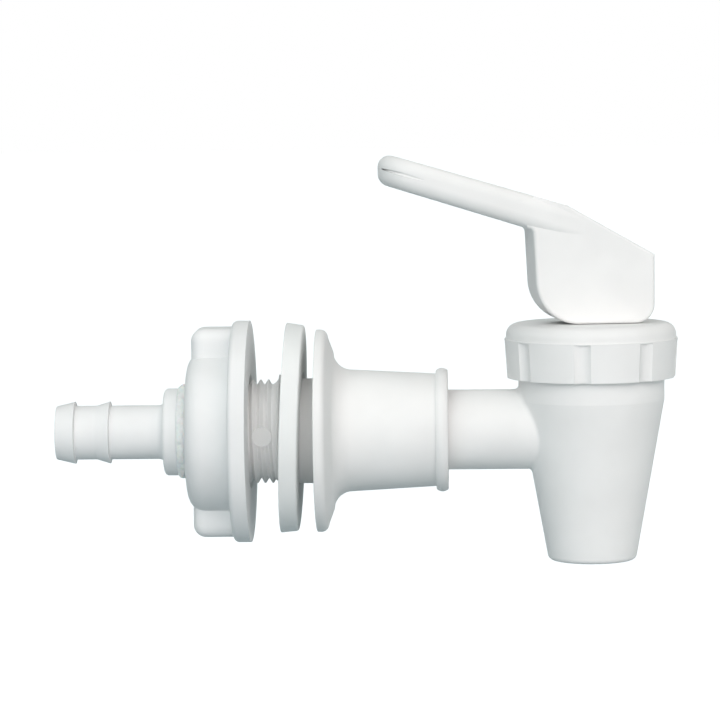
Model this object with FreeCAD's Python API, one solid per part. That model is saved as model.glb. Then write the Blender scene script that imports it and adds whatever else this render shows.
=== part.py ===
import FreeCAD, Part
import math
import os

# Water dispenser spigot, in millimetres.
# +X runs along the shank from the wall towards the spout, +Z is up.
# The origin is on the shank's axis, at the wall washer's seat face.

# Fits and clearances
touch_gap = 0.02          # between flat faces that bear on each other
turn_gap = 0.08           # radial, pieces that turn or slide in each other
thread_gap = 0.15         # radial, between the two halves of a screw thread
seal_gap = 0.05           # around a gasket in its place
swing_gap = 0.3           # around pieces that swing past each other

# Screw thread of the shank
thread_r = 10.0
thread_pitch = 1.5
root_depth = 0.6134 * thread_pitch
relief_depth = 0.1       # runout groove below the thread's root
relief_w = 0.3
thread_chamfer = 1.0
tighten_turns = 0.7       # left before the gasket meets the shank's end

# Wall washer, loose on the shank's neck
washer_overhang = 0.3     # its rim stands out past the flange
washer_t = 3.4
washer_bore_r = 10.8
washer_play = 3.1         # free travel between lip and flange
washer_rest_gap = 0.03    # left where the washer hangs on the neck
washer_lean_deg = 2.0     # how far the loose washer leans
washer_shift = 0.2        # and stands clear of the lip by this more
washer_edge = 0.5

# Shank: neck, retaining lip, flange and trumpet sleeve
neck_r = 10.1
lip_r = 10.95
lip_gap = 0.3
lip_run = 1.8            # length of the hollow cone from the thread up to the lip
cone_mid_along = 0.55     # middle of the cone's curve, as a share of its run
cone_mid_rise = 0.32      # and of its rise
flange_r = 19.5
flange_t = 2.2
flange_edge = 1.4
flange_slope = 1.05       # rise of the flange's front face towards the sleeve
sleeve_fillet = 3.6
sleeve_r = 11.73          # at the flange
sleeve_end_r = 10.85      # at the bead
sleeve_end_x = 31.8
bead_r = 11.9
bead_w = 2.3
bead_side = 0.58          # straight height of the bead's two sides
bore_r = 6.0
socket_chamfer = 0.5
socket_floor_x = 12.6

# Inlet tube and the gasket at its end
tube_r = 7.7
tube_bore_r = 5.2
tube_gasket_t = 1.5
gasket_ring = 1.6         # width of the tube gasket's ring

# Wing nut
nut_gap = 6.2             # from its clamping face to the washer
nut_flange_r = 21.35
nut_flange_t = 3.3
nut_flange_edge = 1.0
nut_length = 12.05         # over all, from clamping face to end face
nut_end_t = 2.05
hub_r = 15.6
hub_edge = 3.6
nut_chamfer = 0.85
lug_r = 20.1
lug_half = 5.2
lug_setback = 0.95         # from the hub's end face to the lugs
lug_edge = 2.4

# Gasket in the nut
nut_gasket_t = 1.8

# Hose tail with two barbs
tail_r = 5.2
tail_bore_r = 3.6
barb_r = 6.0
barb_back = 0.15          # length of a barb's steep back
tail_tip_r = 5.1
tail_length = 23.55        # from the collar's face to the tip, collar included
barb_peaks = (3.6, 10.35)
barb_ramps = (3.4, 2.6)
collar_r = 8.4
collar_t = 2.65
collar_edge = 0.8
collar_fillet = 1.2
spigot_r = 7.0
glue_w = 1.9              # adhesive between collar and hub
glue_r = 8.95
glue_end_r = 8.5

# Spout and valve chamber
spout_x = 59.35
body_r = 14.0
body_top_z = 17.0
cone_top_z = 5.7
spout_end_z = -25.3
spout_end_r = 8.4
spout_edge = 1.1
chamber_wall = 2.2
chamber_floor_z = -9.2
outlet_r = 6.0
seat_height = 1.0
seat_w = 1.0
root_fillet = 0.8         # where the inlet tube runs into the spout

# Bonnet
cap_skirt_z = 10.0
cap_lip_z = 17.5
cap_top_z = 20.4
cap_top_t = 2.4
cap_r = 16.6              # at the lip
cap_draft = 0.5           # less at the skirt's lower edge
cap_step = 0.3            # the dome stands back from the ribs
dome_edge = 2.2
flute_count = 8
flute_phase = 37.5
flute_w = 3.3
flute_depth = 0.7
flute_stop = 0.25         # from the flutes' tops to the lip
boss_r = 5.4
boss_z = 12.0
ring_w = 1.8
ring_depth = 2.5
cap_gasket_t = 1.0

# Valve stem, cup, seal and spring
stem_r = 2.5
stem_flange_r = 5.6
stem_flange_t = 1.5
cup_r = 8.0
cup_t = 3.2
cup_edge = 0.6
cup_seal_w = 0.9
cup_seal_t = 0.3
knob_r = 2.6
knob_t = 0.9
knob_neck_r = 1.8
knob_skin = 1.0           # cup left under the stem's knob
ring_section_r = 0.47
ring_play = 0.2           # beside the ring in its groove, each side
ring_z = 15.0
wire_r = 0.4
coil_r = 4.4
coil_turns = 6.0
spring_washer_t = 0.8
spring_washer_r = 5.6
eye_r = 3.4
eye_half = 2.4

# Handle: cam block and thumb lever
swing_deg = 8.5           # how far the handle stands turned about the spout
cam_gap = 0.1             # between the resting block and the bonnet
cam_r = 8.3               # large lower corner, towards the lever
cam_x = -3.15             # where the flat underside ends and the cam begins
block_half = 5.7
block_back_x = 11.45
block_back_r = 3.65
block_back_height = 13.1   # from the block's foot, as the ridge's height
block_front_lean = 0.45   # the block's front leans out this much up to the lever
block_edge = 0.7
ridge_x = -5.2
ridge_height = 22.6
lever_slope_deg = 16.6
lever_under_slope_deg = 17.6
lever_t = 6.3             # at the block
lever_length = 40.8       # from the spout's axis to the tip
lever_half = 8.0
lever_flush_x = -1.3      # here the lever has run into the block's sides
lever_flush_gap = 0.05    # and stands this much inside them
lever_edge = 2.2          # rounding of its upper rim
lever_under_edge = 2.4    # rounding of its lower rim
lever_root_r = 1.2        # hollow rounding where its underside meets the block
tip_groove_r = 0.3
tip_groove_depth = 0.3
tilt_deg = 35.0
slot_spare_deg = 3.0      # the stem's slot goes this much further than the tilt
slot_run_out = 3.0        # and this far below the block
pin_r = 1.25
pin_grip = 2.0            # length of pin in each cheek

# Sizes that follow
flange_x = washer_t + washer_play
washer_r = flange_r + washer_overhang
nut_face_x = -nut_gap
nut_end_x = nut_face_x - nut_length
nut_floor_x = nut_end_x + nut_end_t
nut_bore_r = thread_r + thread_gap
nut_gasket_x = nut_floor_x + touch_gap
shank_end_x = nut_gasket_x + nut_gasket_t + tighten_turns * thread_pitch + seal_gap
collar_x = nut_end_x - glue_w
socket_r = tube_r + turn_gap
tube_end_x = socket_floor_x + tube_gasket_t + 2 * touch_gap
cone_tan = (body_r - spout_end_r) / (cone_top_z - spout_end_z)
chamber_r = body_r - chamber_wall
cap_bore_r = body_r + thread_gap
cap_ceiling_z = cap_top_z - cap_top_t
stem_bore_r = stem_r + turn_gap
seat_z = chamber_floor_z + seat_height
cup_z = seat_z + touch_gap
stem_flange_z = cup_z + cup_t + touch_gap
spring_low_z = stem_flange_z + stem_flange_t
washer_low_z = boss_z - touch_gap - spring_washer_t
handle_z = cap_top_z + cam_gap
pin_z = handle_z + cam_r
block_front_x = cam_x - cam_r - block_front_lean
ridge_z = handle_z + ridge_height
block_back_top_z = handle_z + block_back_height
slot_half = eye_half + swing_gap
washer_drop = washer_bore_r - neck_r - washer_rest_gap

X = FreeCAD.Vector(1, 0, 0)
Y = FreeCAD.Vector(0, 1, 0)
Z = FreeCAD.Vector(0, 0, 1)
spout_foot = FreeCAD.Vector(spout_x, 0, 0)


def vec(x, y, z):
    return FreeCAD.Vector(x, y, z)


def line(a, b):
    return Part.LineSegment(a, b).toShape()


def arc(a, middle, b):
    return Part.Arc(a, middle, b).toShape()


def closed_face(edges):
    return Part.Face(Part.Wire(Part.__sortEdges__(edges)))


def corner_arc(centre, radius, from_deg, to_deg, place):
    """Arc about centre in a flat outline; place turns the two flat coordinates into a point."""
    def at(angle):
        a = math.radians(angle)
        return place(centre[0] + radius * math.cos(a), centre[1] + radius * math.sin(a))
    return arc(at(from_deg), at((from_deg + to_deg) / 2), at(to_deg))


def polygon_face(points):
    return Part.Face(Part.makePolygon(points + [points[0]]))


def turned_about_x(outline):
    """Solid of revolution about the shank's axis, from (x, radius) pairs."""
    face = polygon_face([vec(x, 0, r) for x, r in outline])
    return face.revolve(vec(0, 0, 0), X, 360)


def turned_about_spout(outline):
    """Solid of revolution about the spout's axis, from (radius, z) pairs."""
    face = polygon_face([vec(spout_x + r, 0, z) for r, z in outline])
    return face.revolve(spout_foot, Z, 360)


def ring_x(x, length, outer, inner):
    tube = Part.makeCylinder(outer, length, vec(x, 0, 0), X)
    return tube.cut(Part.makeCylinder(inner, length, vec(x, 0, 0), X))


def ring_z_solid(z, height, outer, inner):
    foot = vec(spout_x, 0, z)
    return Part.makeCylinder(outer, height, foot, Z).cut(Part.makeCylinder(inner, height, foot, Z))


def circle_edges(shape, radius, axis, value):
    """Circular edges of one radius whose centre lies at value along an axis."""
    found = []
    for edge in shape.Edges:
        curve = edge.Curve
        if not isinstance(curve, Part.Circle):
            continue
        if abs(curve.Radius - radius) < 1e-4 and abs(curve.Center.dot(axis) - value) < 1e-4:
            found.append(edge)
    return found


def make_shank():
    """Threaded end, runout groove, hollow cone, lip, neck, flange, trumpet sleeve and bead."""
    relief_r = thread_r - root_depth - relief_depth
    lip_x = -lip_gap
    cone_x = lip_x - lip_run
    front_x = flange_x + flange_t
    slope_x = front_x + flange_slope
    slope_r = sleeve_r + sleeve_fillet
    bead_x = sleeve_end_x - bead_w

    def at(x, r):
        return vec(x, 0, r)

    mid_r = relief_r + cone_mid_rise * (lip_r - relief_r)
    cone_mid = at(cone_x + cone_mid_along * lip_run, mid_r)
    bead_foot_r = sleeve_end_r + bead_side
    mouth_r = socket_r + socket_chamfer
    edges = [
        line(at(shank_end_x, bore_r), at(shank_end_x, thread_r - thread_chamfer)),
        line(at(shank_end_x, thread_r - thread_chamfer), at(shank_end_x + thread_chamfer, thread_r)),
        line(at(shank_end_x + thread_chamfer, thread_r), at(cone_x - relief_w, thread_r)),
        line(at(cone_x - relief_w, thread_r), at(cone_x, relief_r)),
        arc(at(cone_x, relief_r), cone_mid, at(lip_x, lip_r)),
        line(at(lip_x, lip_r), at(lip_x, neck_r)),
        line(at(lip_x, neck_r), at(flange_x, neck_r)),
        line(at(flange_x, neck_r), at(flange_x, flange_r)),
        line(at(flange_x, flange_r), at(front_x - flange_edge, flange_r)),
        corner_arc((front_x - flange_edge, flange_r - flange_edge), flange_edge, 90, 0, at),
        line(at(front_x, flange_r - flange_edge), at(slope_x, slope_r)),
        corner_arc((slope_x + sleeve_fillet, slope_r), sleeve_fillet, 180, 270, at),
        line(at(slope_x + sleeve_fillet, sleeve_r), at(bead_x, sleeve_end_r)),
        line(at(bead_x, sleeve_end_r), at(bead_x, bead_foot_r)),
        arc(at(bead_x, bead_foot_r), at(bead_x + bead_w / 2, bead_r), at(sleeve_end_x, bead_foot_r)),
        line(at(sleeve_end_x, bead_foot_r), at(sleeve_end_x, mouth_r)),
        line(at(sleeve_end_x, mouth_r), at(sleeve_end_x - socket_chamfer, socket_r)),
        line(at(sleeve_end_x - socket_chamfer, socket_r), at(socket_floor_x, socket_r)),
        line(at(socket_floor_x, socket_r), at(socket_floor_x, bore_r)),
        line(at(socket_floor_x, bore_r), at(shank_end_x, bore_r)),
    ]
    return closed_face(edges).revolve(vec(0, 0, 0), X, 360)


def make_wall_washer():
    """Thick ring that hangs on the neck, off centre and leaning by its slack."""
    disc = Part.makeCylinder(washer_r, washer_t, vec(0, 0, 0), X)
    disc = disc.makeFillet(washer_edge, circle_edges(disc, washer_r, X, washer_t))
    hole = Part.makeCylinder(washer_bore_r, washer_t, vec(0, 0, 0), X)
    washer = disc.cut(hole)
    washer.rotate(vec(0, 0, 0), Y, washer_lean_deg)
    washer.translate(vec(washer_shift, 0, washer_drop))
    return washer


def make_nut_lug():
    """One lug, standing up from the hub between end face and flange."""
    left = nut_end_x + lug_setback
    length = nut_face_x - nut_flange_t / 2 - left
    block = Part.makeBox(length, 2 * lug_half, lug_r, vec(left, -lug_half, 0))
    upper = [
        e for e in block.Edges
        if e.BoundBox.ZMax > lug_r - 0.01 and e.BoundBox.XMin < left + length - 0.01
        and not (e.BoundBox.ZMin < 0.01 and e.BoundBox.XMin > left + 0.01)
    ]
    return block.makeFillet(lug_edge, upper)


def make_wing_nut():
    """Closed hub with a flange, two lugs, the threaded bore and the hole for the hose tail."""
    hub = Part.makeCylinder(hub_r, nut_length, vec(nut_end_x, 0, 0), X)
    hub = hub.makeFillet(hub_edge, circle_edges(hub, hub_r, X, nut_end_x))
    flange_back = nut_face_x - nut_flange_t
    flange = Part.makeCylinder(nut_flange_r, nut_flange_t, vec(flange_back, 0, 0), X)
    flange = flange.makeFillet(nut_flange_edge, circle_edges(flange, nut_flange_r, X, flange_back))
    body = hub.fuse(flange)
    for turn in (0, 180):
        lug = make_nut_lug()
        lug.rotate(vec(0, 0, 0), X, turn)
        body = body.fuse(lug)
    mouth_r = nut_bore_r + nut_chamfer
    cavity = turned_about_x([
        (nut_floor_x, 0),
        (nut_floor_x, nut_bore_r),
        (nut_face_x - nut_chamfer, nut_bore_r),
        (nut_face_x, mouth_r),
        (nut_face_x + 1, mouth_r),
        (nut_face_x + 1, 0),
    ])
    spigot_hole = Part.makeCylinder(spigot_r + touch_gap, nut_length, vec(nut_end_x - 1, 0, 0), X)
    return body.cut(cavity).cut(spigot_hole).removeSplitter()


def make_hose_tail():
    """Barbed tube with a collar and a spigot that goes through the nut's end wall."""
    tip_x = collar_x - tail_length
    face_x = collar_x - collar_t
    spigot_end_x = nut_floor_x - seal_gap
    outline = [(tip_x, tail_bore_r), (tip_x, tail_tip_r)]
    for peak, ramp in zip(barb_peaks, barb_ramps):
        outline.append((tip_x + peak - ramp, tail_r))
        outline.append((tip_x + peak, barb_r))
        outline.append((tip_x + peak + barb_back, tail_r))
    outline += [
        (face_x, tail_r),
        (face_x, collar_r),
        (collar_x, collar_r),
        (collar_x, spigot_r),
        (spigot_end_x, spigot_r),
        (spigot_end_x, tail_bore_r),
    ]
    tail = turned_about_x(outline)
    tail = tail.makeFillet(collar_edge, circle_edges(tail, collar_r, X, face_x))
    return tail.makeFillet(collar_fillet, circle_edges(tail, tail_r, X, face_x))


def make_glue_bead():
    """Bead of adhesive around the spigot, between collar and hub."""
    def at(x, r):
        return vec(x, 0, r)

    inner = spigot_r + touch_gap
    start = collar_x + touch_gap
    end = nut_end_x - touch_gap
    edges = [
        line(at(start, inner), at(start, glue_end_r)),
        arc(at(start, glue_end_r), at((start + end) / 2, glue_r), at(end, glue_end_r)),
        line(at(end, glue_end_r), at(end, inner)),
        line(at(end, inner), at(start, inner)),
    ]
    return closed_face(edges).revolve(vec(0, 0, 0), X, 360)


def make_nut_gasket():
    return ring_x(nut_gasket_x, nut_gasket_t, thread_r - seal_gap, bore_r)


def make_tube_gasket():
    outer = tube_r - seal_gap
    return ring_x(socket_floor_x + touch_gap, tube_gasket_t, outer, outer - gasket_ring)


def make_spout_body():
    """Conical spout and chamber with the inlet tube, all one moulding."""
    def wall_r(z):
        return body_r - (cone_top_z - z) * cone_tan

    outer = turned_about_spout([
        (0, body_top_z),
        (body_r, body_top_z),
        (body_r, cone_top_z),
        (spout_end_r, spout_end_z),
        (0, spout_end_z),
    ])
    outer = outer.makeFillet(spout_edge, circle_edges(outer, spout_end_r, Z, spout_end_z))
    tube = Part.makeCylinder(tube_r, spout_x - tube_end_x, vec(tube_end_x, 0, 0), X)
    body = outer.fuse(tube)
    meeting = [
        e for e in body.Edges
        if e.BoundBox.XMax < spout_x - 1 and e.BoundBox.XMin > tube_end_x + 1
        and e.BoundBox.ZMax < tube_r + 0.1 and e.BoundBox.ZMin > -tube_r - 0.1
        and not isinstance(e.Curve, (Part.Line, Part.LineSegment))
    ]
    body = body.makeFillet(root_fillet, meeting)
    floor_r = wall_r(chamber_floor_z) - chamber_wall
    chamber = turned_about_spout([
        (0, body_top_z + 1),
        (chamber_r, body_top_z + 1),
        (chamber_r, cone_top_z),
        (floor_r, chamber_floor_z),
        (outlet_r + seat_w, chamber_floor_z),
        (outlet_r + seat_w, seat_z),
        (outlet_r, seat_z),
        (outlet_r, spout_end_z - 1),
        (0, spout_end_z - 1),
    ])
    inlet = Part.makeCylinder(tube_bore_r, spout_x - tube_end_x + 1, vec(tube_end_x - 1, 0, 0), X)
    return body.cut(chamber).cut(inlet).removeSplitter()


def make_bonnet_gasket():
    inner = chamber_r + seal_gap
    return ring_z_solid(body_top_z + touch_gap, cap_gasket_t - 2 * touch_gap, body_r - seal_gap, inner)


def make_flute(angle_deg):
    """Cutter for one flute of the bonnet's skirt, leaning with the skirt's draft."""
    radius = ((flute_w / 2) ** 2 + flute_depth ** 2) / (2 * flute_depth)
    height = cap_lip_z - cap_skirt_z
    lean = math.atan2(cap_draft, height)
    reach = cap_r - flute_depth + radius
    cutter = Part.makeCylinder(radius, height + 1, vec(reach, 0, cap_lip_z - height - 1), Z)
    cutter.rotate(vec(reach, 0, cap_lip_z), Y, math.degrees(lean))
    wide = reach + 2 * radius
    low_z = cap_lip_z - flute_stop - 2 * height
    cutter = cutter.common(Part.makeBox(2 * wide, 2 * wide, 2 * height, vec(-wide, -wide, low_z)))
    cutter.rotate(vec(0, 0, 0), Z, angle_deg)
    cutter.translate(spout_foot)
    return cutter


def make_bonnet_cap():
    """Screw cap with eight flutes, a locating ring and a boss that guides the stem."""
    dome_r = cap_r - cap_step
    ring_outer = chamber_r - seal_gap
    ring_low_z = cap_ceiling_z - ring_depth

    def at(r, z):
        return vec(spout_x + r, 0, z)

    edges = [
        line(at(cap_bore_r, cap_skirt_z), at(cap_r - cap_draft, cap_skirt_z)),
        line(at(cap_r - cap_draft, cap_skirt_z), at(cap_r, cap_lip_z)),
        line(at(cap_r, cap_lip_z), at(dome_r, cap_lip_z)),
        line(at(dome_r, cap_lip_z), at(dome_r, cap_top_z - dome_edge)),
        corner_arc((dome_r - dome_edge, cap_top_z - dome_edge), dome_edge, 0, 90, at),
        line(at(dome_r - dome_edge, cap_top_z), at(stem_bore_r, cap_top_z)),
        line(at(stem_bore_r, cap_top_z), at(stem_bore_r, boss_z)),
        line(at(stem_bore_r, boss_z), at(boss_r, boss_z)),
        line(at(boss_r, boss_z), at(boss_r, cap_ceiling_z)),
        line(at(boss_r, cap_ceiling_z), at(ring_outer - ring_w, cap_ceiling_z)),
        line(at(ring_outer - ring_w, cap_ceiling_z), at(ring_outer - ring_w, ring_low_z)),
        line(at(ring_outer - ring_w, ring_low_z), at(ring_outer, ring_low_z)),
        line(at(ring_outer, ring_low_z), at(ring_outer, cap_ceiling_z)),
        line(at(ring_outer, cap_ceiling_z), at(cap_bore_r, cap_ceiling_z)),
        line(at(cap_bore_r, cap_ceiling_z), at(cap_bore_r, cap_skirt_z)),
    ]
    cap = closed_face(edges).revolve(spout_foot, Z, 360)
    for number in range(flute_count):
        cap = cap.cut(make_flute(flute_phase + number * 360 / flute_count))
    return cap


def make_valve_stem():
    """Rod with a knob for the cup, a spring flange, a seal groove and an eye for the pin."""
    knob_z = cup_z + knob_skin
    groove_half = ring_section_r + ring_play
    groove_r = stem_bore_r - 2 * ring_section_r - touch_gap
    outline = [
        (0, knob_z + touch_gap),
        (knob_r, knob_z + touch_gap),
        (knob_r, knob_z + knob_t),
        (knob_neck_r, knob_z + knob_t),
        (knob_neck_r, stem_flange_z),
        (stem_flange_r, stem_flange_z),
        (stem_flange_r, spring_low_z),
        (stem_r, spring_low_z),
        (stem_r, ring_z - groove_half),
        (groove_r, ring_z - groove_half),
        (groove_r, ring_z + groove_half),
        (stem_r, ring_z + groove_half),
        (stem_r, pin_z),
        (0, pin_z),
    ]
    stem = turned_about_spout(outline)
    eye = Part.makeCylinder(eye_r, 2 * eye_half, vec(spout_x, -eye_half, pin_z), Y)
    hole = Part.makeCylinder(pin_r + turn_gap, 4 * eye_half, vec(spout_x, -2 * eye_half, pin_z), Y)
    flat_z = handle_z + swing_gap
    wide = 2 * stem_flange_r
    flat_box = Part.makeBox(wide, 2 * eye_half, 2 * cam_r, vec(spout_x - wide / 2, -eye_half, flat_z))
    round_box = Part.makeBox(wide, wide, flat_z - cup_z, vec(spout_x - wide / 2, -wide / 2, cup_z))
    stem = stem.common(flat_box).fuse(stem.common(round_box)).fuse(eye).cut(hole).removeSplitter()
    stem.rotate(spout_foot, Z, swing_deg)
    return stem


def make_seat_cup():
    """Soft cup with a raised sealing ring under it, snapped over the stem's knob."""
    knob_z = cup_z + knob_skin
    lip_mid = outlet_r + seat_w / 2
    skirt_z = cup_z + cup_seal_t
    cup_top_z = cup_z + cup_t
    outline = [
        (0, skirt_z),
        (lip_mid - cup_seal_w, skirt_z),
        (lip_mid - cup_seal_w / 2, cup_z),
        (lip_mid + cup_seal_w / 2, cup_z),
        (lip_mid + cup_seal_w, skirt_z),
        (cup_r - cup_edge, skirt_z),
        (cup_r, skirt_z + cup_edge),
        (cup_r, cup_top_z - cup_edge),
        (cup_r - cup_edge, cup_top_z),
        (knob_neck_r + touch_gap, cup_top_z),
        (knob_neck_r + touch_gap, knob_z + knob_t + touch_gap),
        (knob_r + touch_gap, knob_z + knob_t + touch_gap),
        (knob_r + touch_gap, knob_z),
        (0, knob_z),
    ]
    return turned_about_spout(outline)


def make_stem_o_ring():
    groove_r = stem_bore_r - 2 * ring_section_r - touch_gap
    major = (groove_r + stem_bore_r) / 2
    return Part.makeTorus(major, ring_section_r, vec(spout_x, 0, ring_z), Z)


def make_spring_washer():
    return ring_z_solid(washer_low_z, spring_washer_t, spring_washer_r, stem_r + 2 * turn_gap)


def make_return_spring():
    """Coil between the stem's flange and the thrust washer."""
    low = spring_low_z + wire_r + touch_gap
    high = washer_low_z - wire_r - touch_gap
    pitch = (high - low) / coil_turns
    helix = Part.makeHelix(pitch, high - low, coil_r)
    rise = math.atan2(pitch, 2 * math.pi * coil_r)
    along = vec(0, math.cos(rise), math.sin(rise))
    section = Part.Wire([Part.Circle(vec(coil_r, 0, 0), along, wire_r).toShape()])
    coil = Part.Wire(helix).makePipeShell([section], True, True)
    coil.translate(vec(spout_x, 0, low))
    return coil


def slope_back():
    """Fall of the block's top towards its back, per millimetre."""
    return (ridge_z - block_back_top_z) / (block_back_x - ridge_x)


def make_thumb_lever(under_z):
    """Thumb lever with a round tip; under_z is the height of its underside at the block."""
    tan_top = math.tan(math.radians(lever_slope_deg))
    tan_under = math.tan(math.radians(lever_under_slope_deg))
    tip_x = -lever_length
    centre_x = tip_x + lever_half
    run = lever_flush_x - centre_x
    end_y = block_half - lever_flush_gap
    touch = math.atan2(end_y, run) + math.acos(lever_half / math.hypot(run, end_y))
    touch_x = centre_x + lever_half * math.cos(touch)
    touch_y = lever_half * math.sin(touch)
    plan = [
        line(vec(touch_x, -touch_y, 0), vec(lever_flush_x, -end_y, 0)),
        line(vec(lever_flush_x, -end_y, 0), vec(lever_flush_x, end_y, 0)),
        line(vec(lever_flush_x, end_y, 0), vec(touch_x, touch_y, 0)),
        arc(vec(touch_x, touch_y, 0), vec(tip_x, 0, 0), vec(touch_x, -touch_y, 0)),
    ]
    column = closed_face(plan).extrude(vec(0, 0, 2 * ridge_z))
    tip_top_z = ridge_z + (ridge_x - tip_x) * tan_top
    tip_under_z = under_z + (block_front_x - tip_x) * tan_under
    out_y = -2 * lever_half
    end_x = lever_flush_x + 1
    side = polygon_face([
        vec(tip_x - 1, out_y, tip_top_z + tan_top),
        vec(ridge_x, out_y, ridge_z),
        vec(end_x, out_y, ridge_z - (end_x - ridge_x) * slope_back()),
        vec(end_x, out_y, under_z - (end_x - block_front_x) * tan_under),
        vec(tip_x - 1, out_y, tip_under_z + tan_under),
    ]).extrude(vec(0, -2 * out_y, 0))
    lever = column.common(side)
    for sign, edge_r in ((1, lever_edge), (-1, lever_under_edge)):
        rims = []
        for face in lever.Faces:
            if face.normalAt(0, 0).z * sign < 0.8:
                continue
            for edge in face.Edges:
                box = edge.BoundBox
                if box.XMin < ridge_x - 1 and box.XMax - box.XMin > 0.5:
                    rims.append(edge)
        lever = lever.makeFillet(edge_r, rims)
    groove_x = centre_x + tip_groove_depth
    groove_z = (tip_top_z + tip_under_z) / 2 - (groove_x - tip_x) * tan_top
    lean = math.radians(lever_slope_deg)
    groove_axis = vec(math.sin(lean), 0, math.cos(lean))
    groove_ring_r = lever_half + tip_groove_r
    groove = Part.makeTorus(groove_ring_r, tip_groove_r, vec(groove_x, 0, groove_z), groove_axis)
    tip_corner = vec(groove_x - 2 * lever_half, out_y, 0)
    tip_half = Part.makeBox(2 * lever_half, 4 * lever_half, 2 * ridge_z, tip_corner)
    lever = lever.cut(groove.common(tip_half))
    lever.translate(spout_foot)
    return lever


def make_handle():
    """Cam block and thumb lever, with a slot for the stem's eye and two blind pin sockets."""
    slope = math.radians(lever_slope_deg)
    front_top_z = ridge_z + (ridge_x - block_front_x) * math.tan(slope)
    under_z = front_top_z - lever_t / math.cos(slope)

    def at(x, z):
        return vec(spout_x + x, -block_half, z)

    left_low_x = cam_x - cam_r
    root_x = block_front_x - lever_root_r
    root_z = under_z + lever_root_r * math.tan(math.radians(lever_under_slope_deg))
    web_z = (under_z + front_top_z) / 2
    edges = [
        line(at(cam_x, handle_z), at(block_back_x - block_back_r, handle_z)),
        corner_arc((block_back_x - block_back_r, handle_z + block_back_r), block_back_r, -90, 0, at),
        line(at(block_back_x, handle_z + block_back_r), at(block_back_x, block_back_top_z)),
        line(at(block_back_x, block_back_top_z), at(ridge_x, ridge_z)),
        line(at(ridge_x, ridge_z), at(block_front_x, front_top_z)),
        line(at(block_front_x, front_top_z), at(block_front_x, web_z)),
        line(at(block_front_x, web_z), at(root_x, web_z)),
        line(at(root_x, web_z), at(root_x, root_z)),
        corner_arc((root_x, root_z - lever_root_r), lever_root_r, 90, 0, at),
        line(at(block_front_x, root_z - lever_root_r), at(left_low_x, pin_z)),
        corner_arc((cam_x, pin_z), cam_r, 180, 270, at),
    ]
    block = closed_face(edges).extrude(vec(0, 2 * block_half, 0))
    rims = [
        e for e in block.Edges
        if abs(e.BoundBox.YMax - e.BoundBox.YMin) < 0.01 and e.BoundBox.ZMin < ridge_z - 0.5
        and (e.BoundBox.XMax > spout_x + block_front_x + 0.05 or e.BoundBox.ZMax < root_z + 0.05)
    ]
    block = block.makeFillet(block_edge, rims)

    handle = block.fuse(make_thumb_lever(under_z))
    eye_room = Part.makeCylinder(eye_r + swing_gap, 2 * slot_half, vec(spout_x, -slot_half, pin_z), Y)
    rod_room = stem_r + swing_gap
    swept = eye_room
    drop = cam_r + slot_run_out
    far_deg = tilt_deg + slot_spare_deg
    for lean in (0, far_deg):
        bar_foot = vec(spout_x - rod_room, -slot_half, pin_z - drop)
        bar = Part.makeBox(2 * rod_room, 2 * slot_half, drop, bar_foot)
        bar.rotate(vec(spout_x, 0, pin_z), Y, lean)
        swept = swept.fuse(bar)
    far = math.radians(far_deg)
    wedge = polygon_face([
        vec(spout_x, -slot_half, pin_z),
        vec(spout_x, -slot_half, pin_z - drop),
        vec(spout_x - drop * math.sin(far), -slot_half, pin_z - drop * math.cos(far)),
    ]).extrude(vec(0, 2 * slot_half, 0))
    swept = swept.fuse(wedge)
    socket_half = slot_half + pin_grip
    sockets = Part.makeCylinder(pin_r + touch_gap, 2 * socket_half, vec(spout_x, -socket_half, pin_z), Y)
    handle = handle.cut(swept).cut(sockets)
    handle = handle.removeSplitter()
    handle.rotate(spout_foot, Z, swing_deg)
    return handle


def make_hinge_pin():
    half = slot_half + pin_grip - touch_gap
    pin = Part.makeCylinder(pin_r, 2 * half, vec(spout_x, -half, pin_z), Y)
    pin.rotate(spout_foot, Z, swing_deg)
    return pin


pieces = {
    "shank": make_shank,
    "wall_washer": make_wall_washer,
    "wing_nut": make_wing_nut,
    "hose_tail": make_hose_tail,
    "glue_bead": make_glue_bead,
    "nut_gasket": make_nut_gasket,
    "tube_gasket": make_tube_gasket,
    "spout_body": make_spout_body,
    "bonnet_gasket": make_bonnet_gasket,
    "bonnet_cap": make_bonnet_cap,
    "valve_stem": make_valve_stem,
    "seat_cup": make_seat_cup,
    "stem_o_ring": make_stem_o_ring,
    "spring_washer": make_spring_washer,
    "return_spring": make_return_spring,
    "handle_lever": make_handle,
    "hinge_pin": make_hinge_pin,
}

os.makedirs("parts", exist_ok=True)
for name, make in pieces.items():
    shape = make()
    shape.exportStep("parts/" + name + ".step")
    print(name, shape.ShapeType, len(shape.Solids), shape.isValid(), round(shape.Volume, 2))
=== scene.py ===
import math

import bmesh
import bpy
from bpy.props import FloatProperty, FloatVectorProperty, PointerProperty
from mathutils import Matrix, Vector, noise


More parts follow.
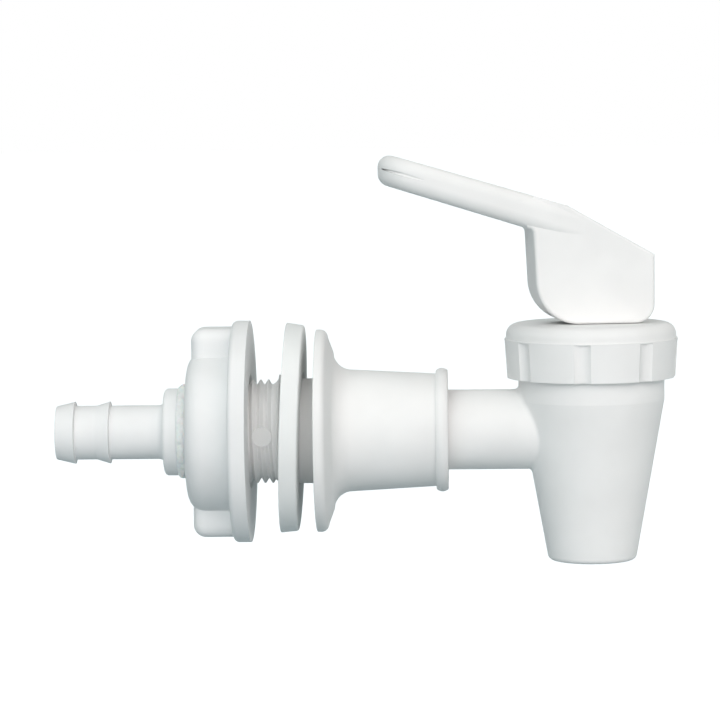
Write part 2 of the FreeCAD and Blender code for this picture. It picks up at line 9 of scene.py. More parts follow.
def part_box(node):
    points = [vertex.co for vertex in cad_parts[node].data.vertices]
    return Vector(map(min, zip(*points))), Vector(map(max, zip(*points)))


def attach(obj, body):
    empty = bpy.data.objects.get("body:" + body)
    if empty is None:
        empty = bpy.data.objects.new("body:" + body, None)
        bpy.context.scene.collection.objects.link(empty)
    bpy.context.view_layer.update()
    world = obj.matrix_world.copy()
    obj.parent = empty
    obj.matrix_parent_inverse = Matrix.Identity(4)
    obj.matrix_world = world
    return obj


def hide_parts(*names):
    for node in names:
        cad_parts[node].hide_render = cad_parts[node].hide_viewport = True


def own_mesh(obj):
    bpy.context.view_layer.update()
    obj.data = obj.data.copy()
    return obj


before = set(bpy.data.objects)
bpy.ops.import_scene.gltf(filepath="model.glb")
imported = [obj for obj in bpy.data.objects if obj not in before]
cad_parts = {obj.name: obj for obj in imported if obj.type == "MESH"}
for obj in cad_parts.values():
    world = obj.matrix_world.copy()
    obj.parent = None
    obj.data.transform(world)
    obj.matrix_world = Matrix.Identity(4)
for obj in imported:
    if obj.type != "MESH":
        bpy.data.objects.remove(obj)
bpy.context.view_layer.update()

bl_info = {
    "name": "Dispenser Spigot",
    "version": (1, 0, 0),
    "blender": (4, 5, 0),
    "location": "View3D > Sidebar > Spigot",
    "description": "Dresses a water dispenser spigot and sets its studio",
    "category": "Object",
}

MM = 0.001
WELD = 0.002 * MM  # points nearer to each other than this are made one
PHOTO_WIDTH = 720  # pixels
SENSOR_WIDTH = 36.0  # of the camera, in millimetres
SHANK_LOW, SHANK_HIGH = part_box("shank")
BEAD_LOW, BEAD_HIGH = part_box("glue_bead")
SHANK_STEPS = 160  # faces round the shank
THREAD_STEPS = 120  # faces in one turn of the thread
WASHER_STEPS = 200
BEAD_STEPS = 220


def linear(hex_colour):
    """Linear red, green and blue of an sRGB hex colour such as 'F2F4F3'."""
    levels = [int(hex_colour[i:i + 2], 16) / 255 for i in (0, 2, 4)]
    return tuple(v / 12.92 if v <= 0.04045 else ((v + 0.055) / 1.055) ** 2.4 for v in levels)


def length(name, description, default_mm):
    """A size, given in millimetres and kept in metres."""
    return FloatProperty(
        name=name, description=description, default=default_mm * MM,
        unit="LENGTH", subtype="DISTANCE", precision=5,
    )


def colour(name, description, hex_colour):
    return FloatVectorProperty(
        name=name, description=description, default=linear(hex_colour), subtype="COLOR", min=0, max=1
    )


def angle(name, description, degrees):
    return FloatProperty(
        name=name, description=description, default=math.radians(degrees), unit="ROTATION", subtype="ANGLE"
    )


class SpigotShankSizes(bpy.types.PropertyGroup):
    """Sizes of the shank's moulding, the same as its solid's."""

    bore: length("Bore", "Radius of the water way", 6.0)
    thread: length("Thread crest", "Radius over the thread's crests", 10.0)
    root: length("Thread root", "Radius at the bottom of the thread", 9.08)
    pitch: length("Pitch", "Advance of the thread in one turn", 1.5)
    crest_place: length("Crest place", "Where a crest passes the front, along the shank", -2.32)
    chamfer: length("Lead-in", "Chamfer at the thread's start", 1.0)
    relief: length("Relief", "Radius of the groove where the thread runs out", 8.98)
    relief_width: length("Relief width", "Length of the slope into that groove", 0.3)
    cone_start: length("Cone start", "Where the hollow cone leaves the groove", -2.1)
    lip_end: length("Lip end", "Where the retaining lip ends", -0.3)
    runout: length("Runout", "Where the thread starts to fade", -1.9)
    runout_width: length("Runout width", "Length of that fading", 0.9)
    lip: length("Lip", "Radius of the retaining lip", 10.95)
    neck: length("Neck", "Radius of the neck that carries the washer", 10.1)
    flange_back: length("Flange back", "Where the flange's back face stands", 6.5)
    flange_front: length("Flange front", "Where the flange's rim ends", 8.7)
    flange: length("Flange", "Radius of the flange", 19.5)
    flange_round: length("Flange rounding", "Rounding of the flange's front rim", 1.4)
    slope_end: length("Slope end", "Where the flange's front face meets the trumpet", 9.75)
    fillet: length("Trumpet", "Radius of the hollow between flange and sleeve", 3.6)
    sleeve: length("Sleeve", "Radius of the sleeve at the flange", 11.73)
    sleeve_end: length("Sleeve end", "Radius of the sleeve at its bead", 10.85)
    bead: length("Bead", "Radius over the bead", 11.9)
    bead_width: length("Bead width", "Width of the bead", 2.3)
    bead_side: length("Bead side", "Straight height of the bead's sides", 0.58)
    mouth: length("Mouth", "Chamfer at the socket's mouth", 0.5)
    edge: length("Edge", "Softening of the edges", 0.25)
    socket: length("Socket", "Radius of the socket for the inlet tube", 7.78)
    socket_floor: length("Socket floor", "Where the socket ends", 12.6)
    pad: length("Gate pad", "Radius of the flat gate pad between the crests", 1.85)
    pad_x: length("Gate pad place", "Where the pad sits along the shank", -3.6)
    pad_z: length("Gate pad height", "Height of the pad's centre", -0.15)
    pad_face: length("Gate pad face", "How far its face stands from the axis", 9.62)


class SpigotWasherSizes(bpy.types.PropertyGroup):
    """Sizes and place of the loose washer."""

    thickness: length("Thickness", "Thickness of the washer", 3.4)
    bore: length("Bore", "Radius of its hole", 10.8)
    rim: length("Rim", "Radius of its rim at the face towards the nut", 20.22)
    draft: length("Draft", "How much less the rim's radius is at the face towards the flange", 0.36)
    edge: length("Edge", "Rounding of the rim at the face towards the flange", 0.5)
    corner: length("Corner", "Softening of the other edges", 0.12)
    lean: angle("Lean", "How far the loose washer leans", 2.0)
    shift: length("Shift", "How far it stands clear of the lip", 0.2)
    rise: length("Rise", "How far its middle stands above the shank's axis", 0.67)


class SpigotBeadSizes(bpy.types.PropertyGroup):
    """Sizes of the adhesive that is squeezed out between collar and nut."""

    inner: length("Inner", "Radius inside, on the hose tail's spigot", 7.02)
    foot: length("Foot", "Radius where it meets collar and nut", 8.45)
    outer: length("Outer", "Radius over its middle", 8.95)
    lumps: length("Lumps", "Height of its lumps", 0.32)


class SpigotColours(bpy.types.PropertyGroup):
    """Colours of the finishes."""

    moulding: colour("Mouldings", "White polypropylene", "ECECEB")
    nut: colour("Nut and tail", "White polypropylene of the rear fittings", "EAEBEB")
    washer: colour("Wall washer", "White polyethylene", "E9EBEA")
    adhesive: colour("Adhesive", "Set white adhesive", "E9ECEB")
    silicone: colour("Silicone", "Milky silicone rubber", "D9DDDC")
    nitrile: colour("Nitrile", "Black seal rubber", "141416")
    acetal: colour("Acetal", "Natural acetal", "EBEAE4")
    steel: colour("Stainless steel", "Drawn stainless wire and pin", "C9CACC")
    ground: colour("Backdrop", "Pale floor", "98A6AB")
    surround: colour("Surround", "Light from the sides and from above", "F2FAF8")
    cool: colour("Cool", "Light from in front on the left", "F8FEFF")
    warm: colour("Warm", "Light from in front on the right", "FFF6F4")


# Soft lights: azimuth and height in degrees, strength, and which colour
SOFT_LIGHTS = (
    (-20.0, 12.0, 2.45, "cool"),
    (20.0, 12.0, 3.10, "warm"),
    (90.0, 12.0, 1.50, "surround"),
    (-90.0, 65.0, 1.70, "surround"),
    (180.0, 12.0, 1.00, "surround"),
)


class SpigotStudio(bpy.types.PropertyGroup):
    """Camera and lights."""

    azimuth: angle("Azimuth", "How far round the object the camera stands", 1.9017)
    elevation: angle("Elevation", "How far above the horizon the camera stands", 4.8169)
    roll: angle("Roll", "How far the camera leans", -0.6937)
    distance: length("Distance", "From the camera to the object", 682.49)
    aim_x: length("Aim along", "Where the camera looks, along the shank", 14.977)
    aim_z: length("Aim height", "Where the camera looks, in height", 13.580)
    scale: FloatProperty(name="Scale", description="Photograph pixels for a millimetre", default=5.2)
    light: FloatProperty(name="Light", description="Strength of all the soft lights", default=0.98)
    surround: FloatProperty(name="Surround", description="Strength of the light between them", default=0.02)
    soft_inner: angle("Soft inner", "Where a soft light starts to fade, from its middle", 6.0)
    soft_outer: angle("Soft outer", "Where it ends", 40.0)
    glow: FloatProperty(name="Glow", description="Plain white added where the floor is seen", default=0.84)
    floor_height: length("Floor height", "Height of the floor", -95.0)
    floor_radius: length("Floor radius", "Radius of the floor", 6000.0)


def colours():
    """The colours that the user has set."""
    return bpy.context.scene.spigot_colours


def add_node(tree, kind, values=None, **settings):
    """Adds a node; values go to its inputs, as numbers or as links from other sockets."""
    made = tree.nodes.new(kind)
    for name, value in settings.items():
        setattr(made, name, value)
    for name, value in (values or {}).items():
        socket = made.inputs[name]
        if kind == "ShaderNodeMix" and settings.get("data_type") == "RGBA" and name in "AB":
            socket = next(s for s in made.inputs if s.name == name and s.type == "RGBA")
        if isinstance(value, bpy.types.NodeSocket):
            tree.links.new(value, socket)
        else:
            socket.default_value = value
    return made


def new_material(name):
    """An empty node material with its Object coordinates."""
    material = bpy.data.materials.new(name)
    material.use_nodes = True
    tree = material.node_tree
    tree.nodes.clear()
    place = add_node(tree, "ShaderNodeTexCoord").outputs["Object"]
    return material, tree, place


def finish_material(tree, shader):
    """Puts the shader on the surface."""
    add_node(tree, "ShaderNodeOutputMaterial", {"Surface": shader.outputs[0]})


def per_metre(millimetres):
    """Texture scale for a pattern that repeats about every so many millimetres."""
    return 1 / (millimetres * MM)


def moulded_plastic(name, base, roughness, grain_mm, grain_height, flow_mm=9.0, flow_height=0.02):
    """Injection-moulded polyolefin: a soft waxy white, faint flow waves and a fine satin skin."""
    material, tree, place = new_material(name)
    flow = add_node(
        tree, "ShaderNodeTexNoise",
        {"Vector": place, "Scale": per_metre(flow_mm), "Detail": 2.0, "Roughness": 0.4},
    )
    grain = add_node(
        tree, "ShaderNodeTexNoise",
        {"Vector": place, "Scale": per_metre(grain_mm), "Detail": 3.0, "Roughness": 0.6},
    )
    tint = add_node(tree, "ShaderNodeValToRGB", {"Fac": flow.outputs["Fac"]})
    shade = [c * 0.955 for c in base]
    tint.color_ramp.elements[0].position = 0.3
    tint.color_ramp.elements[0].color = (*shade, 1)
    tint.color_ramp.elements[1].position = 0.65
    tint.color_ramp.elements[1].color = (*base, 1)
    gloss = add_node(
        tree, "ShaderNodeMapRange",
        {"Value": grain.outputs["Fac"], "From Min": 0.3, "From Max": 0.7, "To Min": roughness - 0.05,
         "To Max": roughness + 0.07},
    )
    waves = add_node(
        tree, "ShaderNodeBump",
        {"Height": flow.outputs["Fac"], "Strength": 1.0, "Distance": flow_height * MM},
    )
    skin = add_node(
        tree, "ShaderNodeBump",
        {"Height": grain.outputs["Fac"], "Strength": 1.0, "Distance": grain_height * MM,
         "Normal": waves.outputs["Normal"]},
    )
    shader = add_node(
        tree, "ShaderNodeBsdfPrincipled",
        {"Base Color": tint.outputs["Color"], "Roughness": gloss.outputs["Result"], "IOR": 1.49,
         "Normal": skin.outputs["Normal"], "Subsurface Weight": 0.12, "Subsurface Radius": (1.0, 0.95, 0.9),
         "Subsurface Scale": 0.5 * MM},
    )
    finish_material(tree, shader)
    return material


def set_adhesive(name, base):
    """Adhesive squeezed out and set in lumps: whitish, half clear, with wet-looking tops and pits, and
    painted shade in the hollows between the lumps.
    """
    material, tree, place = new_material(name)
    lumps = add_node(
        tree, "ShaderNodeTexNoise",
        {"Vector": place, "Scale": per_metre(1.1), "Detail": 4.0, "Roughness": 0.65},
    )
    pits = add_node(tree, "ShaderNodeTexVoronoi", {"Vector": place, "Scale": per_metre(0.7)})
    # Painted shade: the colour follows the lumps' height and is darker in the hollows between them.
    tint = add_node(tree, "ShaderNodeValToRGB", {"Fac": lumps.outputs["Fac"]})
    tint.color_ramp.elements[0].position = 0.3
    tint.color_ramp.elements[0].color = (*[c * 0.88 for c in base], 1)
    tint.color_ramp.elements[1].position = 0.62
    tint.color_ramp.elements[1].color = (*base, 1)
    rough = add_node(
        tree, "ShaderNodeMapRange", {"Value": lumps.outputs["Fac"], "To Min": 0.55, "To Max": 0.3}
    )
    swell = add_node(
        tree, "ShaderNodeBump", {"Height": lumps.outputs["Fac"], "Strength": 1.0, "Distance": 0.16 * MM}
    )
    dents = add_node(
        tree, "ShaderNodeBump",
        {"Height": pits.outputs["Distance"], "Strength": 0.6, "Distance": 0.06 * MM,
         "Normal": swell.outputs["Normal"]},
    )
    shader = add_node(
        tree, "ShaderNodeBsdfPrincipled",
        {"Base Color": tint.outputs["Color"], "Roughness": rough.outputs["Result"], "IOR": 1.5,
         "Normal": dents.outputs["Normal"], "Subsurface Weight": 0.25, "Subsurface Scale": 1.0 * MM},
    )
    finish_material(tree, shader)
    return material


def moulded_rubber(name, base, roughness):
    """Compression-moulded rubber: dull, with a fine dusty grain."""
    material, tree, place = new_material(name)
    dust = add_node(
        tree, "ShaderNodeTexNoise",
        {"Vector": place, "Scale": per_metre(0.5), "Detail": 4.0, "Roughness": 0.7},
    )
    tint = add_node(tree, "ShaderNodeValToRGB", {"Fac": dust.outputs["Fac"]})
    tint.color_ramp.elements[0].color = (*[c * 0.85 for c in base], 1)
    tint.color_ramp.elements[1].color = (*[min(1, c * 1.05) for c in base], 1)
    bump = add_node(
        tree, "ShaderNodeBump", {"Height": dust.outputs["Fac"], "Strength": 1.0, "Distance": 0.01 * MM}
    )
    rough = add_node(
        tree, "ShaderNodeMapRange",
        {"Value": dust.outputs["Fac"], "To Min": roughness - 0.08, "To Max": roughness + 0.08},
    )
    shader = add_node(
        tree, "ShaderNodeBsdfPrincipled",
        {"Base Color": tint.outputs["Color"], "Roughness": rough.outputs["Result"], "IOR": 1.42,
         "Normal": bump.outputs["Normal"]},
    )
    finish_material(tree, shader)
    return material


def drawn_steel(name, base):
    """Stainless steel drawn through a die: bright, with fine lines along its length."""
    material, tree, place = new_material(name)
    stretch = add_node(tree, "ShaderNodeMapping", {"Vector": place, "Scale": (1.0, 0.08, 1.0)})
    lines = add_node(
        tree, "ShaderNodeTexNoise",
        {"Vector": stretch.outputs["Vector"], "Scale": per_metre(0.06), "Detail": 2.0},
    )
    rough = add_node(
        tree, "ShaderNodeMapRange", {"Value": lines.outputs["Fac"], "To Min": 0.18, "To Max": 0.38}
    )
    bump = add_node(
        tree, "ShaderNodeBump", {"Height": lines.outputs["Fac"], "Strength": 0.5, "Distance": 0.004 * MM}
    )
    shader = add_node(
        tree, "ShaderNodeBsdfPrincipled",
        {"Base Color": (*base, 1), "Metallic": 1.0, "Roughness": rough.outputs["Result"],
         "Normal": bump.outputs["Normal"]},
    )
    finish_material(tree, shader)
    return material


def dress(node_names, material):
    """Gives solids from the frame their finish."""
    for node_name in node_names:
        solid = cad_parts[node_name]
        if not solid.material_slots:
            solid.data.materials.append(material)
        for holder in solid.material_slots:
            holder.material = material


def add_piece(name, mesh, material, body, node_name):
    """Puts a mesh in the scene as a piece that rides on a body and stands for one of the frame's solids."""
    piece = bpy.data.objects.new(name, mesh)
    bpy.context.scene.collection.objects.link(piece)
    mesh.materials.clear()
    mesh.materials.append(material)
    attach(piece, body)
    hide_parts(node_name)
    return piece


def smooth_mesh(name, mesh_data, sharp_deg=32.0):
    """Mesh from a bmesh, shaded smooth except across its sharp edges."""
    bmesh.ops.recalc_face_normals(mesh_data, faces=mesh_data.faces)
    for face in mesh_data.faces:
        face.smooth = True
    for edge in mesh_data.edges:
        edge.smooth = len(edge.link_faces) == 2 and edge.calc_face_angle(0) < math.radians(sharp_deg)
    mesh = bpy.data.meshes.new(name)
    mesh_data.to_mesh(mesh)
    mesh_data.free()
    return mesh


def joined(base, others, operation="UNION"):
    """One closed bmesh from several that overlap, or what the others leave of the first."""
    def holder(mesh_data):
        bmesh.ops.recalc_face_normals(mesh_data, faces=mesh_data.faces)
        mesh = bpy.data.meshes.new("joining")
        mesh_data.to_mesh(mesh)
        mesh_data.free()
        made = bpy.data.objects.new("joining", mesh)
        bpy.context.scene.collection.objects.link(made)
        return made

    whole = holder(base)
    others = [holder(other) for other in others]
    for other in others:
        join = whole.modifiers.new("join", "BOOLEAN")
        join.operation = operation
        join.solver = "EXACT"
        join.object = other
    shape = bpy.data.meshes.new_from_object(whole.evaluated_get(bpy.context.evaluated_depsgraph_get()))
    result = bmesh.new()
    result.from_mesh(shape)
    bpy.data.meshes.remove(shape)
    for made in [whole, *others]:
        mesh = made.data
        bpy.data.objects.remove(made)
        bpy.data.meshes.remove(mesh)
    bmesh.ops.remove_doubles(result, verts=result.verts, dist=WELD)
    bmesh.ops.dissolve_degenerate(result, dist=WELD, edges=result.edges)
    bmesh.ops.holes_fill(result, edges=[e for e in result.edges if e.is_boundary])
    return result


def arc_points(centre, radius, start_deg, end_deg, count):
    """Points of an arc in the plane of length along the shank and radius."""
    points = []
    for i in range(count + 1):
        a = math.radians(start_deg + (end_deg - start_deg) * i / count)
        points.append((centre[0] + radius * math.cos(a), centre[1] + radius * math.sin(a)))
    return points


def three_point_arc(a, b, c, count):
    """Points from a to c on the circle through a, b and c."""
    ax, ay, bx, by, cx, cy = *a, *b, *c
    d = 2 * (ax * (by - cy) + bx * (cy - ay) + cx * (ay - by))
    aa, bb, cc = ax * ax + ay * ay, bx * bx + by * by, cx * cx + cy * cy
    ux = (aa * (by - cy) + bb * (cy - ay) + cc * (ay - by)) / d
    uy = (aa * (cx - bx) + bb * (ax - cx) + cc * (bx - ax)) / d
    start, middle, end = (math.degrees(math.atan2(p[1] - uy, p[0] - ux)) for p in (a, b, c))
    sweep = (end - start) % 360
    if (middle - start) % 360 > sweep:
        sweep -= 360
    return arc_points((ux, uy), math.hypot(ax - ux, ay - uy), start, start + sweep, count)


def spin_about_shank(outline, steps, turns=1.0, advance=0.0):
    """Spins a closed outline of (x, radius) points about the shank's axis; an advance makes it a screw."""
    mesh_data = bmesh.new()
    verts = [mesh_data.verts.new((x, 0, r)) for x, r in outline]
    edges = [mesh_data.edges.new((verts[i], verts[(i + 1) % len(verts)])) for i in range(len(verts))]
    bmesh.ops.spin(
        mesh_data, geom=verts + edges, cent=(0, 0, 0), axis=(1, 0, 0), dvec=(advance / steps, 0, 0),
        angle=math.tau * turns, steps=steps, use_merge=advance == 0, use_duplicate=False,
    )
    bmesh.ops.remove_doubles(mesh_data, verts=mesh_data.verts, dist=WELD)
    bmesh.ops.holes_fill(mesh_data, edges=[e for e in mesh_data.edges if e.is_boundary])
    return mesh_data


def set_radius(vert, radius):
    """Moves a vertex straight out from the shank's axis, or in towards it."""
    share = radius / math.hypot(vert.co.y, vert.co.z)
    vert.co.y *= share
    vert.co.z *= share


class SPIGOT_OT_shank(bpy.types.Operator):
    """Moulded shank: threaded end, lip, neck, flange, trumpet sleeve and bead"""

    bl_idname = "spigot.shank"
    bl_label = "Shank"

    def execute(self, context):
        s = context.scene.spigot_shank
        finish = moulded_plastic("Moulded polypropylene, matt - shank", colours().moulding, 0.7, 0.35, 0.004)
        past = 1.0 * MM  # how far the discs reach past the thread, inwards and outwards
        overlap = 0.01 * MM
        room = self.gate_disc(s, s.pad, s.relief - past, s.thread + past)
        pad = self.gate_disc(s, s.pad + overlap, s.relief - past, s.pad_face)
        ridge = joined(self.thread(s), [room], "DIFFERENCE")
        mesh = smooth_mesh("shank_moulding", joined(self.blank(s), [ridge, pad]))
        add_piece("shank_moulding", mesh, finish, "root", "shank")
        return {"FINISHED"}

    def blank(self, s):
        """The shank without its thread: the threaded stretch is turned down to the thread's root."""
        end, tip = SHANK_HIGH.x, SHANK_LOW.x
        bead_start = end - s.bead_width
        bead_foot = s.sleeve_end + s.bead_side
        rim = (s.flange_front - s.flange_round, s.flange - s.flange_round)
        hollow = (s.slope_end + s.fillet, s.sleeve + s.fillet)
        cone_along, cone_out = 0.55, 0.32  # a point of the hollow cone, as shares of its length and height
        cone_middle = (
            s.cone_start + cone_along * (s.lip_end - s.cone_start), s.relief + cone_out * (s.lip - s.relief)
        )
        soft = s.edge
        outline = [
            (tip, s.bore), (tip, s.thread - s.chamfer), (tip + s.chamfer - s.thread + s.root, s.root),
            (s.cone_start - s.relief_width, s.root),
            *three_point_arc((s.cone_start, s.relief), cone_middle, (s.lip_end - soft, s.lip), 12),
            (s.lip_end, s.lip - soft), (s.lip_end, s.neck),
            (s.flange_back, s.neck),
            *arc_points((s.flange_back + soft, s.flange - soft), soft, 180, 90, 3),
            *arc_points(rim, s.flange_round, 90, 0, 10),
            *arc_points(hollow, s.fillet, 180, 270, 14),
            (bead_start, s.sleeve_end),
            *three_point_arc(
                (bead_start, bead_foot), (bead_start + s.bead_width / 2, s.bead), (end, bead_foot), 12
            ),
            (end, s.socket + s.mouth), (end - s.mouth, s.socket),
            (s.socket_floor, s.socket), (s.socket_floor, s.bore),
        ]
        return spin_about_shank(outline, SHANK_STEPS)

    def thread(self, s):
        """Ridge of the thread: a V with a narrow crest, screwed along the shank, chamfered at both ends."""
        tip = SHANK_LOW.x
        top_crest = s.crest_place - s.pitch / 4
        half_ridge, last_turn = 0.4, 0.9  # in turns
        first = math.ceil((tip + half_ridge * s.pitch - top_crest) / s.pitch)
        turns = int((last_turn - first) * THREAD_STEPS) / THREAD_STEPS
        sunk = 0.1 * MM  # how deep the ridge stands in the core
        foot = s.root - sunk
        rise = s.thread - s.root
        start = top_crest + first * s.pitch
        # Place across the ridge, as a share of the pitch, and radius
        profile = [
            (-0.46, foot), (-0.46, s.root), (-0.4, s.root + 0.06 * rise), (-0.1, s.root + 0.9 * rise),
            (-0.05, s.root + 0.98 * rise), (0, s.thread), (0.05, s.root + 0.98 * rise),
            (0.1, s.root + 0.9 * rise), (0.4, s.root + 0.06 * rise), (0.46, s.root), (0.46, foot),
        ]
        outline = [(start + across * s.pitch, radius) for across, radius in profile]
        ridge = spin_about_shank(outline, round(turns * THREAD_STEPS), turns, turns * s.pitch)
        fall = rise / s.runout_width
        behind_tip = 0.02 * MM
        for vert in ridge.verts:
            vert.co.x = max(vert.co.x, tip + behind_tip)
            allowed = min(s.thread - s.chamfer + vert.co.x - tip, s.thread - fall * (vert.co.x - s.runout))
            set_radius(vert, max(min(math.hypot(vert.co.y, vert.co.z), allowed), foot))
        return ridge

    def gate_disc(self, s, radius, inner, outer):
        """Round bar to the front where the gate pad is, between two distances from the axis."""
        mesh_data = bmesh.new()
        middle = Vector((s.pad_x, -(inner + outer) / 2, s.pad_z))
        bmesh.ops.create_cone(
            mesh_data, cap_ends=True, segments=64, radius1=radius, radius2=radius, depth=outer - inner,
            matrix=Matrix.Translation(middle) @ Matrix.Rotation(math.pi / 2, 4, "X"),
        )
        return mesh_data


class SPIGOT_OT_wall_washer(bpy.types.Operator):
    """Loose wall washer, with the draft that its rim has from its mould"""

    bl_idname = "spigot.wall_washer"
    bl_label = "Wall washer"

    def execute(self, context):
        s = context.scene.spigot_washer
        rim_end = s.rim - s.draft
        drafted_deg = 84  # where the rounding takes over from the sloping rim
        soft = s.corner
        outline = [
            (0, s.bore + soft), (0, s.rim - soft), (soft, s.rim),
            *arc_points((s.thickness - s.edge, rim_end - s.edge), s.edge, drafted_deg, 0, 8),
            (s.thickness, s.bore + soft), (s.thickness - soft, s.bore), (soft, s.bore),
        ]
        ring = spin_about_shank(outline, WASHER_STEPS)
        place = Matrix.Translation((s.shift, 0, s.rise)) @ Matrix.Rotation(s.lean, 4, "Y")
        bmesh.ops.transform(ring, matrix=place, verts=ring.verts)
        finish = moulded_plastic("Moulded polyethylene, matt", colours().washer, 0.78, 0.25, 0.006)
        mesh = smooth_mesh("loose_washer", ring)
        add_piece("loose_washer", mesh, finish, "washer", "wall_washer")
        return {"FINISHED"}


class SPIGOT_OT_glue_bead(bpy.types.Operator):
    """Adhesive squeezed out between the hose tail's collar and the nut"""

    bl_idname = "spigot.glue_bead"
    bl_label = "Glue bead"

    def execute(self, context):
        s = context.scene.spigot_bead
        low, high = BEAD_LOW.x, BEAD_HIGH.x
        across = 14  # faces over its width
        waves = ((0.55, 1.0), (1.6, 0.5), (4.1, 0.25))  # lumps to a millimetre, and their share
        outline = [(high, s.inner), (low, s.inner)]
        for i in range(across + 1):
            outline.append((low + (high - low) * i / across, s.foot))
        ring = spin_about_shank(outline, BEAD_STEPS)
        for vert in ring.verts:
            if math.hypot(vert.co.y, vert.co.z) < (s.inner + s.foot) / 2:
                continue
            swell = max(0.0, math.sin(math.pi * (vert.co.x - low) / (high - low))) ** 0.6
            set_radius(vert, s.outer)
            place = vert.co / MM
            lump = sum(share * noise.noise(place * per_mm) for per_mm, share in waves)
            set_radius(vert, s.foot + (s.outer - s.foot) * swell + s.lumps * lump * (0.35 + 0.65 * swell))
        finish = set_adhesive("Set adhesive, squeezed out", colours().adhesive)
        mesh = smooth_mesh("adhesive_bead", ring, 60.0)
        add_piece("adhesive_bead", mesh, finish, "nut", "glue_bead")
        return {"FINISHED"}


class SPIGOT_OT_mouldings(bpy.types.Operator):
    """Finishes of the spout, the bonnet and the handle"""

    bl_idname = "spigot.mouldings"
    bl_label = "Spout, bonnet and handle"

    def execute(self, context):
        white = colours().moulding
        spout = moulded_plastic("Moulded polypropylene, satin - spout", white, 0.6, 0.4, 0.002)
        dress(["spout_body"], spout)
        bonnet = moulded_plastic("Moulded polypropylene, satin - bonnet", white, 0.62, 0.4, 0.003)
        dress(["bonnet_cap"], bonnet)
        handle = moulded_plastic("Moulded polypropylene, satin - handle", white, 0.6, 0.4, 0.003)
        dress(["handle_lever"], handle)
        return {"FINISHED"}


class SPIGOT_OT_fittings(bpy.types.Operator):
    """Finishes of the wing nut and the hose tail"""

    bl_idname = "spigot.fittings"
    bl_label = "Nut and hose tail"

    def execute(self, context):
        c = colours()
        dress(["wing_nut"], moulded_plastic("Moulded polypropylene, matt - nut", c.nut, 0.74, 0.3, 0.005))
        dress(["hose_tail"], moulded_plastic("Moulded polypropylene, matt - tail", c.nut, 0.7, 0.3, 0.004))
        return {"FINISHED"}


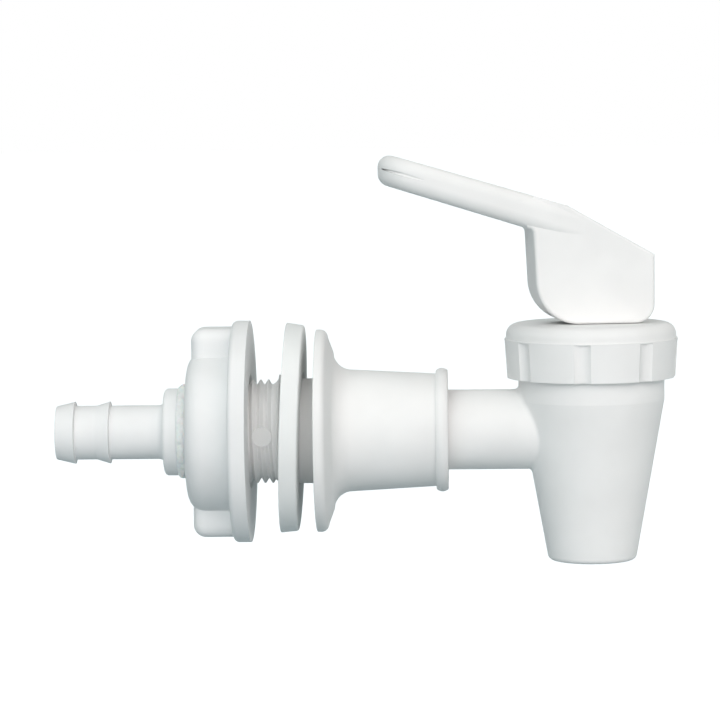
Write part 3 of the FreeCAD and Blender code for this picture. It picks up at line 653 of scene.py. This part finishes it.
class SPIGOT_OT_valve(bpy.types.Operator):
    """Finishes of the stem, the seals, the spring and the hinge pin"""

    bl_idname = "spigot.valve"
    bl_label = "Valve"

    def execute(self, context):
        c = colours()
        dress(["valve_stem", "spring_washer"], moulded_plastic("Moulded acetal", c.acetal, 0.36, 0.3, 0.003))
        rubber = moulded_rubber("Moulded silicone rubber", c.silicone, 0.5)
        dress(["seat_cup", "tube_gasket", "bonnet_gasket", "nut_gasket"], rubber)
        dress(["stem_o_ring"], moulded_rubber("Moulded nitrile rubber", c.nitrile, 0.55))
        dress(["return_spring", "hinge_pin"], drawn_steel("Drawn stainless steel", c.steel))
        self.let_spring_close()
        return {"FINISHED"}

    def let_spring_close(self):
        """Gives the spring a mesh of its own, not shared with other objects."""
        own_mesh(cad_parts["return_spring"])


class SPIGOT_OT_stage(bpy.types.Operator):
    """Pale floor, soft light and the camera"""

    bl_idname = "spigot.stage"
    bl_label = "Stage"

    def execute(self, context):
        studio = context.scene.spigot_studio
        self.floor(studio)
        self.world(studio)
        self.camera(context.scene, studio)
        context.scene.view_settings.view_transform = "Standard"
        return {"FINISHED"}

    def seen_straight(self, tree):
        """1 where the camera, a mirror or clear plastic sees the surface, else 0."""
        path = add_node(tree, "ShaderNodeLightPath")
        glossy = add_node(
            tree, "ShaderNodeMath",
            {0: path.outputs["Is Camera Ray"], 1: path.outputs["Is Glossy Ray"]}, operation="MAXIMUM",
        )
        return add_node(
            tree, "ShaderNodeMath",
            {0: glossy.outputs[0], 1: path.outputs["Is Transmission Ray"]}, operation="MAXIMUM",
        ).outputs[0]

    def floor(self, studio):
        """A wide disc, white as paper where it is seen, which still takes the object's shadow."""
        mesh_data = bmesh.new()
        bmesh.ops.create_circle(
            mesh_data, cap_ends=True, segments=96, radius=studio.floor_radius,
            matrix=Matrix.Translation((0, 0, studio.floor_height)),
        )
        mesh = bpy.data.meshes.new("floor")
        mesh_data.to_mesh(mesh)
        mesh_data.free()
        ground = bpy.data.objects.new("floor", mesh)
        bpy.context.scene.collection.objects.link(ground)
        material, tree, place = new_material("Pale backdrop")
        mottle = add_node(
            tree, "ShaderNodeTexNoise", {"Vector": place, "Scale": per_metre(400.0), "Detail": 1.0}
        )
        paint = add_node(tree, "ShaderNodeValToRGB", {"Fac": mottle.outputs["Fac"]})
        paint.color_ramp.elements[0].color = (*[c * 0.97 for c in colours().ground], 1)
        paint.color_ramp.elements[1].color = (*colours().ground, 1)
        matt = add_node(tree, "ShaderNodeBsdfDiffuse", {"Color": paint.outputs["Color"]})
        share = add_node(
            tree, "ShaderNodeMath", {0: self.seen_straight(tree), 1: studio.glow}, operation="MULTIPLY"
        )
        glow = add_node(tree, "ShaderNodeEmission", {"Color": (1, 1, 1, 1)})
        tree.links.new(share.outputs[0], glow.inputs["Strength"])
        both = add_node(tree, "ShaderNodeAddShader", {0: matt.outputs[0], 1: glow.outputs[0]})
        finish_material(tree, both)
        mesh.materials.append(material)

    def world(self, studio):
        """White behind the object, and soft lights round it."""
        world = bpy.data.worlds.new("Studio")
        bpy.context.scene.world = world
        world.use_nodes = True
        tree = world.node_tree
        tree.nodes.clear()
        direction = add_node(tree, "ShaderNodeTexCoord").outputs["Generated"]
        total = tuple(c * studio.surround for c in colours().surround)
        for azimuth, height, strength, tint in SOFT_LIGHTS:
            towards = self.away(math.radians(azimuth), math.radians(height))
            facing = add_node(
                tree, "ShaderNodeVectorMath", {0: direction, 1: towards}, operation="DOT_PRODUCT"
            )
            patch = add_node(
                tree, "ShaderNodeMapRange",
                {"Value": facing.outputs["Value"], "From Min": math.cos(studio.soft_outer),
                 "From Max": math.cos(studio.soft_inner)}, interpolation_type="SMOOTHSTEP",
            )
            level = tuple(c * strength * studio.light for c in getattr(colours(), tint))
            total = add_node(
                tree, "ShaderNodeVectorMath", {0: patch.outputs["Result"], 1: level, 2: total},
                operation="MULTIPLY_ADD",
            ).outputs["Vector"]
        soft = add_node(tree, "ShaderNodeBackground", {"Color": total, "Strength": 1.0})
        white = add_node(tree, "ShaderNodeBackground", {"Color": (1, 1, 1, 1), "Strength": 1.0})
        mixed = add_node(
            tree, "ShaderNodeMixShader",
            {0: self.seen_straight(tree), 1: soft.outputs[0], 2: white.outputs[0]},
        )
        add_node(tree, "ShaderNodeOutputWorld", {"Surface": mixed.outputs[0]})

    def away(self, azimuth, elevation):
        """Direction from the object to a lamp or camera; azimuth 0 is in front of it, towards -Y."""
        level = math.cos(elevation)
        return Vector((math.sin(azimuth) * level, -math.cos(azimuth) * level, math.sin(elevation)))

    def camera(self, scene, studio):
        """Camera where the photograph was taken from, with the same frame."""
        data = bpy.data.cameras.new("camera")
        data.sensor_width = SENSOR_WIDTH
        data.sensor_fit = "HORIZONTAL"
        data.lens = studio.distance / MM * studio.scale * data.sensor_width / PHOTO_WIDTH
        data.clip_start, data.clip_end = 0.01, 50.0
        camera = bpy.data.objects.new("camera", data)
        towards = self.away(studio.azimuth, studio.elevation)
        camera.location = Vector((studio.aim_x, 0, studio.aim_z)) + towards * studio.distance
        turn = towards.to_track_quat("Z", "Y").to_matrix().to_4x4()
        camera.rotation_euler = (turn @ Matrix.Rotation(studio.roll, 4, "Z")).to_euler()
        scene.collection.objects.link(camera)
        scene.camera = camera


class SPIGOT_PT_panel(bpy.types.Panel):
    """Buttons for each group of pieces"""

    bl_label = "Dispenser Spigot"
    bl_idname = "SPIGOT_PT_panel"
    bl_space_type = "VIEW_3D"
    bl_region_type = "UI"
    bl_category = "Spigot"

    def draw(self, context):
        for operator in OPERATORS:
            self.layout.operator(operator.bl_idname)


GROUPS = {
    "spigot_shank": SpigotShankSizes,
    "spigot_washer": SpigotWasherSizes,
    "spigot_bead": SpigotBeadSizes,
    "spigot_colours": SpigotColours,
    "spigot_studio": SpigotStudio,
}
OPERATORS = (
    SPIGOT_OT_shank, SPIGOT_OT_wall_washer, SPIGOT_OT_glue_bead, SPIGOT_OT_mouldings, SPIGOT_OT_fittings,
    SPIGOT_OT_valve, SPIGOT_OT_stage,
)


def register():
    for group in (*GROUPS.values(), *OPERATORS, SPIGOT_PT_panel):
        bpy.utils.register_class(group)
    for name, group in GROUPS.items():
        setattr(bpy.types.Scene, name, PointerProperty(type=group))


def unregister():
    for name in GROUPS:
        delattr(bpy.types.Scene, name)
    for group in reversed((*GROUPS.values(), *OPERATORS, SPIGOT_PT_panel)):
        bpy.utils.unregister_class(group)


def main():
    register()
    bpy.ops.spigot.shank()
    bpy.ops.spigot.wall_washer()
    bpy.ops.spigot.glue_bead()
    bpy.ops.spigot.mouldings()
    bpy.ops.spigot.fittings()
    bpy.ops.spigot.valve()
    bpy.ops.spigot.stage()


if __name__ == "__main__":
    main()
